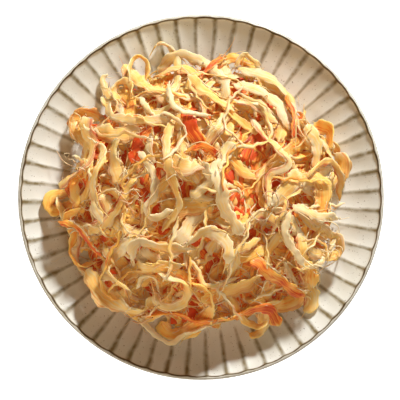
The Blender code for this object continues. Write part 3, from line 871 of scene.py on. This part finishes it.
def shape_ribbons(laid_shreds, tube, draw, tones, crinkle=1.0):
    """Places of all points of the given shreds, and the values that their finish needs."""
    _, row, angle = tube
    rows = row.max() + 1
    table = np.stack([resampled(frames, rows) for _, frames in laid_shreds])
    centre, side, out = table[..., 0:3], unit(table[..., 3:6]), unit(table[..., 6:9])
    along = lengths_along(centre)
    length = along[:, -1:]
    width = np.array([[shred.width] for shred, _ in laid_shreds])
    thick = DRIED_THINNER * np.array([[shred.thick] for shred, _ in laid_shreds])
    end_reach = np.minimum(draw.uniform(*END_REACH, (len(table), 1)), length * END_REACH_SHARE)
    ends = soft_step(along / end_reach) * soft_step((length - along) / end_reach)
    roll = sway(along, draw, *ROLL_SWAY, crinkle)[..., None]
    side, out = side * np.cos(roll) + out * np.sin(roll), out * np.cos(roll) - side * np.sin(roll)
    centre = centre + side * sway(along, draw, *SIDE_SWAY, crinkle)[..., None]
    centre = centre + out * sway(along, draw, *OUT_SWAY, crinkle)[..., None]
    half = width / 2 * (END_WIDTH + (1 - END_WIDTH) * ends)
    left = half * (1 + sway(along, draw, *LEFT_SWAY) + sway(along, draw, *EDGE_SWAY))
    right = half * (1 + sway(along, draw, *RIGHT_SWAY) + sway(along, draw, *EDGE_SWAY))
    thinned = END_THICKNESS + (1 - END_THICKNESS) * ends
    depth = thick / 2 * thinned * (1 + sway(along, draw, *THICK_SWAY))
    cup = draw.uniform(-CUP, CUP, (len(table), 1)) + sway(along, draw, *CUP_SWAY)
    c = np.cos(angle)[None]
    s = np.sin(angle)[None]
    across = np.where(c > 0, left[:, row], right[:, row]) * c
    ridged = 1 + GRAIN * np.sin(across / GRAIN_STEP + sway(along, draw, *GRAIN_SWAY)[:, row])
    through_it = depth[:, row] * s * ridged + cup[:, row] * across**2 / width
    spots = centre[:, row] + side[:, row] * across[..., None] + out[:, row] * through_it[..., None]
    number = np.arange(len(table))[:, None] * NEXT_STREAKS + np.zeros_like(across)
    fibre = np.stack([across, along[:, row], number], axis=-1)
    tone = tones + sway(along, draw, *TONE_SWAY)
    edge = (across / (width / 2)) ** 2
    pale = PALE_EDGE * np.clip(edge, 0, 1) ** 2 + PALE_END * (1 - ends[:, row])
    skin_side = soft_step((across / (width / 2) - SKIN_FROM) / SKIN_FADE)
    finish = np.stack([tone[:, row], skin_side, pale], axis=-1)
    return spots, fibre, finish


print("ribbons are shaped row by row")

# %% [markdown]
# ## Loose threads
# Dried squid splits along its muscle fibres, so threads peel from the ribbons' edges and fan out at their
# ends. The finest ones stand free of the heap and curl.

# %% Threads
# DRAWN_ON is how many steps a shred's line runs on past its ends, for the fibres that stick out there.
# NEXT_THREAD sets the streaks of one thread apart from those of the next.
DRAWN_ON = 6
THREAD_SWAY = (9 * MM, 0.25)
THREAD_TAPER = 0.75
THREAD_FLATNESS = 0.55
THREAD_PALE = 0.35
TIP_PALER = 0.4
NEXT_THREAD = 0.517
FROM_EDGE = 0.45
FROM_END = 0.20
WOBBLE = (0.3 * MM, 1.3 * MM)
WOBBLE_TURNS = (4, 9)
AWAY_CURVE = 1.6
RISE_CURVE = 1.4
RISE = (-0.4, 1.0)
HAIR_FIELD = 74 * MM
HAIR_CURL = 6 * MM
HAIR_WOBBLE = 5 * MM
HAIR_ROOT = 0.8 * MM
HAIR_WAVES = 2.2
HAIR_BOW = 0.75


def shape_threads(lines, tube, draw, widths, tones, skins):
    """Threads along the given lines, an array of thread, row and place."""
    _, row, angle = tube
    ahead = unit(np.gradient(lines, axis=1))
    side = unit(np.cross(ahead, np.array([0.15, 0.1, 1.0])))
    out = np.cross(side, ahead)
    along = lengths_along(lines)
    share = along / along[:, -1:]
    half = widths / 2 * (1 - THREAD_TAPER * share**2) * (1 + sway(along, draw, *THREAD_SWAY))
    across = half[:, row] * np.cos(angle)[None]
    depth = THREAD_FLATNESS * half[:, row] * np.sin(angle)[None]
    spots = lines[:, row] + side[:, row] * across[..., None] + out[:, row] * depth[..., None]
    number = np.arange(len(lines))[:, None] * NEXT_THREAD + np.zeros_like(across)
    fibre = np.stack([across, along[:, row], number], axis=-1)
    pale = THREAD_PALE + TIP_PALER * share[:, row]
    finish = np.stack([tones + 0 * across, skins + 0 * across, pale], axis=-1)
    return spots, fibre, finish


def drawn_on(frames):
    """One shred's frames as a table, drawn on straight at both ends."""
    table = as_table(frames)
    head = np.repeat(table[:1], DRAWN_ON, axis=0)
    tail = np.repeat(table[-1:], DRAWN_ON, axis=0)
    counts = np.arange(1, DRAWN_ON + 1)[:, None]
    head[:, 0:3] += counts[::-1] * (table[0, 0:3] - table[1, 0:3])
    tail[:, 0:3] += counts * (table[-1, 0:3] - table[-2, 0:3])
    return np.concatenate([head, table, tail])


def peeling_lines(laid_shreds, per_shred, rows, draw, reach, away, at_ends):
    """Lines that start on a ribbon, run along it and draw away from it."""
    lines = []
    t = np.linspace(0, 1, rows)
    for shred, frames in laid_shreds:
        table = drawn_on(frames)
        last = len(frames) - 1
        for _ in range(per_shred):
            way = draw.choice([-1, 1])
            span = draw.uniform(*reach) / ROUTE_STEP
            start = draw.uniform(-2, 0) if at_ends else draw.uniform(-last, -0.2 * last)
            where = start + span * t
            if way > 0:
                where = np.minimum(last + where, last + DRAWN_ON)
            else:
                where = np.maximum(-where, -DRAWN_ON)
            spot = rows_at(table, where + DRAWN_ON)
            edge = draw.uniform(-1, 1) if at_ends else draw.choice([-1, 1])
            start_at = (FROM_END if at_ends else FROM_EDGE) * shred.width
            shift = edge * (start_at + draw.uniform(*away) * t**AWAY_CURVE)
            wobble = draw.uniform(*WOBBLE)
            phase = draw.uniform(*WOBBLE_TURNS) * t + draw.uniform(0, math.tau)
            shift = shift + wobble * t * np.sin(phase)
            rise = draw.uniform(*RISE) * draw.uniform(*away) * t**RISE_CURVE
            lines.append(spot[:, 0:3] + spot[:, 3:6] * shift[:, None] + spot[:, 6:9] * rise[:, None])
    return np.array(lines)


def free_lines(count, rows, draw, reach, high):
    """Curling lines that start in the heap and stand free of it."""
    lines = []
    for _ in range(count):
        turn = draw.uniform(0, math.tau)
        radius = HAIR_FIELD * math.sqrt(draw.uniform(0.02, 1))
        place = np.array([radius * math.cos(turn), radius * math.sin(turn)])
        heading = draw.uniform(0, math.tau)
        step = draw.uniform(*reach) / (rows - 1)
        curl = draw.uniform(-1, 1) / HAIR_CURL
        wobble = draw.uniform(0.5, 1.5) / HAIR_WOBBLE
        phase = draw.uniform(0, math.tau)
        lift = draw.uniform(*high)
        line = []
        for k in range(rows):
            base = tops[cell_of(place)]
            rise = lift * math.sin(math.pi * k / (rows - 1) * HAIR_BOW) - HAIR_ROOT
            line.append((place[0], place[1], base + rise))
            heading += (curl + wobble * math.sin(HAIR_WAVES * k / rows * math.tau + phase)) * step
            place = place + step * np.array([math.cos(heading), math.sin(heading)])
        line = np.array(line)
        iron_out(line[:, 2], 3)
        lines.append(line)
    return np.array(lines)


print("a thread has", THREAD[1].max() + 1, "rows")

# %% [markdown]
# ## The heap's middle
# Under everything is a lumpy dome, as a heap's inside is pressed together. It shows only in the deepest
# gaps, and its dark amber there is painted warm shade. A ball is flattened to it, so that it stays
# closed.

# %% The dome
CORE_INSIDE = 5 * MM
CORE_ACROSS = 68 * MM
CORE_RIPPLE = 1.2 * MM
CORE_RIPPLE_SIZE = 5 * MM
core_shape = bmesh.new()
bmesh.ops.create_icosphere(core_shape, subdivisions=5, radius=1)
for vert in core_shape.verts:
    x = vert.co.x * CORE_ACROSS
    y = vert.co.y * CORE_ACROSS
    top = max(core_top(x, y) - CORE_INSIDE, FLOOR_TOP + GAP)
    ripple = CORE_RIPPLE * noise.noise(Vector((x, y, 0)) / CORE_RIPPLE_SIZE)
    share = ramp(vert.co.z, -0.25, 0.25)
    vert.co = (x, y, FLOOR_TOP + GAP + share * (top - FLOOR_TOP - GAP + ripple + CORE_RIPPLE))
bmesh.ops.recalc_face_normals(core_shape, faces=core_shape.faces[:])
core = make_piece("pressed_middle", core_shape)
print("dome faces:", len(core.data.polygons))

# %% [markdown]
# ## Making the ribbons
# One piece for each kind of shred. A tone from 0, ivory, to 1, deep amber, is drawn for each shred from
# its look.

# %% Ribbon pieces
TONE = {
    "red": (0.92, 1.05), "rind": (0.75, 0.88), "amber": (0.48, 0.70), "cream": (0.26, 0.44),
    "pale": (0.08, 0.26), "white": (-0.08, 0.06), "skin": (0.18, 0.42),
}
STRAND_CRINKLE = 2.0
draw = np.random.default_rng(5)
pieces = {"pressed_middle": core}


def add_ribbons(name, laid_shreds, tube, crinkle=1.0):
    tones = np.array([[draw.uniform(*TONE[shred.look])] for shred, _ in laid_shreds])
    pieces[name] = join_copies(name, tube, *shape_ribbons(laid_shreds, tube, draw, tones, crinkle))


for look, name in (
    ("red", "red_pieces"), ("rind", "rind_strip"), ("amber", "amber_ribbons"), ("cream", "cream_ribbons"),
    ("pale", "pale_shreds"), ("white", "white_shreds"), ("skin", "skin_edged_shreds"),
):
    add_ribbons(name, [(shred, frames) for shred, frames in laid if shred.look == look], RIBBON)
add_ribbons("bed_of_shreds", laid_bed, BED_RIBBON)
add_ribbons("torn_strands", laid_strands, STRAND, STRAND_CRINKLE)
add_ribbons("loose_strands", laid_loose, STRAND, STRAND_CRINKLE)

# %% [markdown]
# ## Hairs that can be followed
# Some curling hairs stand out against the plate or on the heap. Each is its rise and width in
# millimetres, its tone, its share of skin and its route, and it lies over the heap's top without
# following every dent.

# %% Followed hairs
HAIR_ARCH = (0.1, 0.7)
FOLLOWED_HAIRS = [
    (9, 1.1, 0.10, 0.7, [(-62, 13), (-69, 16), (-75, 19), (-79, 25)]),
    (9, 1.0, 0.00, 0.0, [(-68, 18), (-71, 20), (-73, 21), (-72, 23.5), (-75, 23), (-74, 21)]),
    (4, 1.0, 0.05, 0.0, [(58, -37), (64, -38.5), (67, -39), (70, -37.5), (73, -35.5), (72.5, -33.5)]),
    (3, 0.9, 0.05, 0.0, [(56, -35), (60.5, -39), (63, -40), (64, -42), (61.5, -42.5), (60, -40.5)]),
    (3, 0.7, 0.05, 0.0, [(64, -14), (71, -15), (76, -20), (74, -25)]),
    (3, 0.7, 0.05, 0.0, [(65, -24), (71, -27), (76, -28), (77, -33)]),
    (3, 0.6, 0.05, 0.2, [(62, -28), (69, -31), (72, -29), (75, -31), (74, -35)]),
    (2, 0.6, 0.10, 0.8, [(-28, -60), (-36, -60), (-41, -64), (-38, -67)]),
    (2, 0.6, 0.10, 0.8, [(-30, -63), (-38, -66), (-43, -63), (-47, -64)]),
    (2, 0.7, 0.20, 0.8, [(-26, -66), (-33, -69), (-38, -68), (-42, -71)]),
    (2, 0.8, 0.15, 0.7, [(38, -8), (42, -4), (40, 1), (36, 2), (33, -1)]),
    (2, 0.7, 0.10, 0.8, [(40, -10), (46, -8), (47, -3), (43, 1)]),
    (2, 0.7, 0.10, 0.7, [(36, -12), (33, -17), (36, -21), (41, -20)]),
    (2, 0.8, 0.05, 0.5, [(30, -4), (27, -9), (30, -13), (35, -13), (36, -9)]),
    (2, 0.7, 0.05, 0.2, [(-19, 8), (-14, 11), (-10, 8), (-12, 4)]),
    (2, 0.8, 0.05, 0.6, [(-46, 4), (-41, 1), (-37, 4), (-33, 0), (-30, 3)]),
    (2, 0.7, 0.10, 0.7, [(-44, -2), (-39, -4), (-36, -1), (-31, -4)]),
]
FINE_THREAD = make_tube(around=5, rows=24)


def followed_lines(hairs, rows):
    """Lines over the heap's top that follow the given points and rise above it."""
    lines = []
    for high, _, _, _, points in hairs:
        places = [true_place(x * MM, y * MM) for x, y in points]
        route = np.array([[*place] for place in through(places, CURVE_STEPS)])
        line = rows_at(route, np.linspace(0, len(route) - 1, rows))
        base = np.array([tops[cell_of(spot)] for spot in line])
        for _ in range(6):
            base[1:-1] = np.maximum(base[1:-1], (base[:-2] + base[2:]) / 2)
        rise = high * MM * np.sin(np.linspace(*HAIR_ARCH, rows) * math.pi)
        lines.append(np.column_stack([line, base + rise]))
    return np.array(lines)


rows = FINE_THREAD[1].max() + 1
lines = followed_lines(FOLLOWED_HAIRS, rows)
wide, tone, skin = (np.array([[hair[k]] for hair in FOLLOWED_HAIRS]) for k in (1, 2, 3))
pieces["followed_hairs"] = join_copies(
    "followed_hairs", FINE_THREAD, *shape_threads(lines, FINE_THREAD, draw, wide * MM, tone, skin)
)

# %% [markdown]
# ## All other threads
# Two threads peel off each ribbon's edges and two stick out at its ends, the rinds have a fringe, and the
# strands one thread each. None stands more than a little above the heap, as they are soft. The finest
# hairs curl freely.

# %% Thread pieces
ABOVE_HEAP = 2.5 * MM
RIND_FRINGE = 24
HAIRS = 110
SKIN_SHARE = 0.3


def not_above_heap(lines):
    """The same lines, held down to a little above the heap."""
    for line in lines:
        highest = np.array([tops[cell_of(spot)] for spot in line]) + ABOVE_HEAP
        line[:, 2] = np.minimum(line[:, 2], highest)
    return lines


rows = THREAD[1].max() + 1
edge_lines = peeling_lines(laid, 2, rows, draw, (9 * MM, 24 * MM), (0.5 * MM, 4 * MM), False)
end_lines = peeling_lines(laid, 2, rows, draw, (3 * MM, 8 * MM), (0.5 * MM, 3 * MM), True)
strand_lines = peeling_lines(laid_strands, 1, rows, draw, (3 * MM, 9 * MM), (0.5 * MM, 3 * MM), True)
rinds = [(shred, frames) for shred, frames in laid if shred.look == "rind"]
fringe = peeling_lines(rinds, RIND_FRINGE, rows, draw, (3 * MM, 7 * MM), (1 * MM, 4 * MM), False)
peeled = not_above_heap(np.concatenate([edge_lines, end_lines, strand_lines, fringe]))
hairs = free_lines(HAIRS, rows, draw, (8 * MM, 26 * MM), (0.5 * MM, 4 * MM))
for name, widths, lines in (
    ("peeling_threads", (0.4 * MM, 1.1 * MM), peeled), ("curling_hairs", (0.22 * MM, 0.5 * MM), hairs),
):
    count = (len(lines), 1)
    wide = draw.uniform(*widths, count)
    tone = draw.uniform(0.0, 0.5, count)
    skin = (draw.uniform(0, 1, count) < SKIN_SHARE) * draw.uniform(0.3, 0.9, count)
    pieces[name] = join_copies(name, THREAD, *shape_threads(lines, THREAD, draw, wide, tone, skin))

# %% [markdown]
# ## The squid's finish
# Dried squid lets light in a little way and on to its neighbours, so the gaps glow orange. Light that
# scatters inside each shred stands for that, and so does a faint glow of its own colour, which is painted
# light: the squid gives off light like a lamp, a little more in the middle and the bed that fill the
# gaps.
# Along its fibres it is streaked ivory, gold and amber; torn edges and ends are whiter because they are
# fluffed up; skin leaves salmon to red-brown lines.

# %% Squid
SQUID_TONES = [
    (0.00, (0.82, 0.67, 0.41, 1)), (0.28, (0.87, 0.61, 0.23, 1)), (0.58, (0.92, 0.54, 0.12, 1)),
    (0.80, (0.90, 0.30, 0.05, 1)), (1.00, (0.68, 0.09, 0.02, 1)),
]
SKIN_COLOUR = (0.58, 0.15, 0.07, 1)
STREAK_STRETCH = (1300, 90, 1)
BLOTCH_SHARE = 0.5
FLUFF_SHARE = 0.30
GRAIN_BUMP = (0.45, 0.0004)
SHINE = 0.25
SCATTER_RADIUS = (1.0, 0.85, 0.6)
SCATTER_DEPTH = 1 * MM
# The glow below is painted light in the squid's own colour; the middle and the bed, seen only in the
# gaps, glow a little more.
PAINTED_GAP_GLOW = 0.07


# glow is the strength of a painted glow, in the squid's own colour, that lights its shaded sides and the
# gaps.
def squid_finish(name, tone_shift, skin_share, roughness, scatter=0.8, glow=0.05):
    material, shader, add, links = new_material(name)
    fibre = add("Attribute", attribute_name="fibre").outputs["Vector"]
    finish = add("SeparateXYZ", {"Vector": add("Attribute", attribute_name="finish").outputs["Vector"]})
    stretched = add("VectorMath", {0: fibre, 1: STREAK_STRETCH}, operation="MULTIPLY").outputs[0]
    streaks = add("TexNoise", {"Vector": stretched, "Scale": 1, "Detail": 3}).outputs["Fac"]
    place = add("TexCoord").outputs["Object"]
    blotch = add("TexNoise", {"Vector": place, "Scale": 130, "Detail": 2}).outputs["Fac"]

    def math_node(operation, first, second, third=0.0):
        return add("Math", {0: first, 1: second, 2: third}, operation=operation).outputs[0]

    tone = math_node("ADD", streaks, -0.50 + tone_shift)
    tone = math_node("ADD", tone, finish.outputs["X"])
    tone = math_node("MULTIPLY_ADD", blotch, BLOTCH_SHARE, math_node("ADD", tone, -BLOTCH_SHARE / 2))
    tone = math_node("MULTIPLY_ADD", finish.outputs["Z"], -FLUFF_SHARE, tone)
    colours = add("ValToRGB", {"Fac": tone})
    ramp_of = colours.color_ramp
    while len(ramp_of.elements) < len(SQUID_TONES):
        ramp_of.elements.new(0.5)
    for element, (at, colour) in zip(ramp_of.elements, SQUID_TONES):
        element.position = at
        element.color = colour
    skin_streaks = spread(add, streaks, 0.36, 0.58)
    skin = math_node("MULTIPLY", math_node("MULTIPLY", finish.outputs["Y"], skin_streaks), skin_share)
    skinned = mix(add, skin, colours.outputs["Color"], SKIN_COLOUR)
    links.new(skinned, shader.inputs["Base Color"])
    # Emission in the squid's own colour: painted light that brightens its shaded sides and the gaps.
    links.new(skinned, shader.inputs["Emission Color"])
    relief = add("Bump", {"Height": streaks, "Strength": GRAIN_BUMP[0], "Distance": GRAIN_BUMP[1]})
    links.new(relief.outputs["Normal"], shader.inputs["Normal"])
    set_values(shader, {
        "Roughness": roughness, "Specular IOR Level": SHINE, "Emission Strength": glow,
        "Subsurface Weight": scatter, "Subsurface Radius": SCATTER_RADIUS,
        "Subsurface Scale": SCATTER_DEPTH,
    })
    return material


finishes = {
    # The middle and the bed are shifted towards deep amber: painted warm shade, the orange of light
    # passed from shred to shred in the gaps.
    "pressed_middle": squid_finish("middle_painted_gap_shade", 0.35, 0.0, 0.5, glow=PAINTED_GAP_GLOW),
    "bed_of_shreds": squid_finish("bed_painted_gap_shade", 0.22, 0.3, 0.5, glow=PAINTED_GAP_GLOW),
    "red_pieces": squid_finish("deep_red", 0.0, 0.4, 0.35),
    "rind_strip": squid_finish("rind", 0.0, 0.5, 0.5),
    "white_shreds": squid_finish("white", 0.0, 0.0, 0.55),
    "amber_ribbons": squid_finish("amber", -0.08, 0.6, 0.38),
    "cream_ribbons": squid_finish("cream", 0.0, 0.55, 0.5),
    "pale_shreds": squid_finish("pale", 0.0, 0.3, 0.55),
    "skin_edged_shreds": squid_finish("skin_edged", 0.0, 1.0, 0.5),
    "torn_strands": squid_finish("torn", 0.0, 0.5, 0.55, 0.5),
    "loose_strands": squid_finish("loose", 0.0, 0.6, 0.55, 0.5),
    "peeling_threads": squid_finish("thread", 0.05, 0.8, 0.55, 0.1),
    "curling_hairs": squid_finish("hair", 0.0, 0.8, 0.5, 0.1),
    "followed_hairs": squid_finish("long_hair", 0.0, 0.7, 0.5, 0.1),
}
for name, finish in finishes.items():
    pieces[name].data.materials.append(finish)
print("finishes:", len(finishes))

# %% [markdown]
# ## What stands for what
# The fine plate takes the measured plate's place, and all the shreds together take the measured heap's.

# %% Hand the pieces to the frame
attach(plate, "root")
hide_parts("plate")
for piece in pieces.values():
    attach(piece, "root")
    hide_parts("squid_shreds")
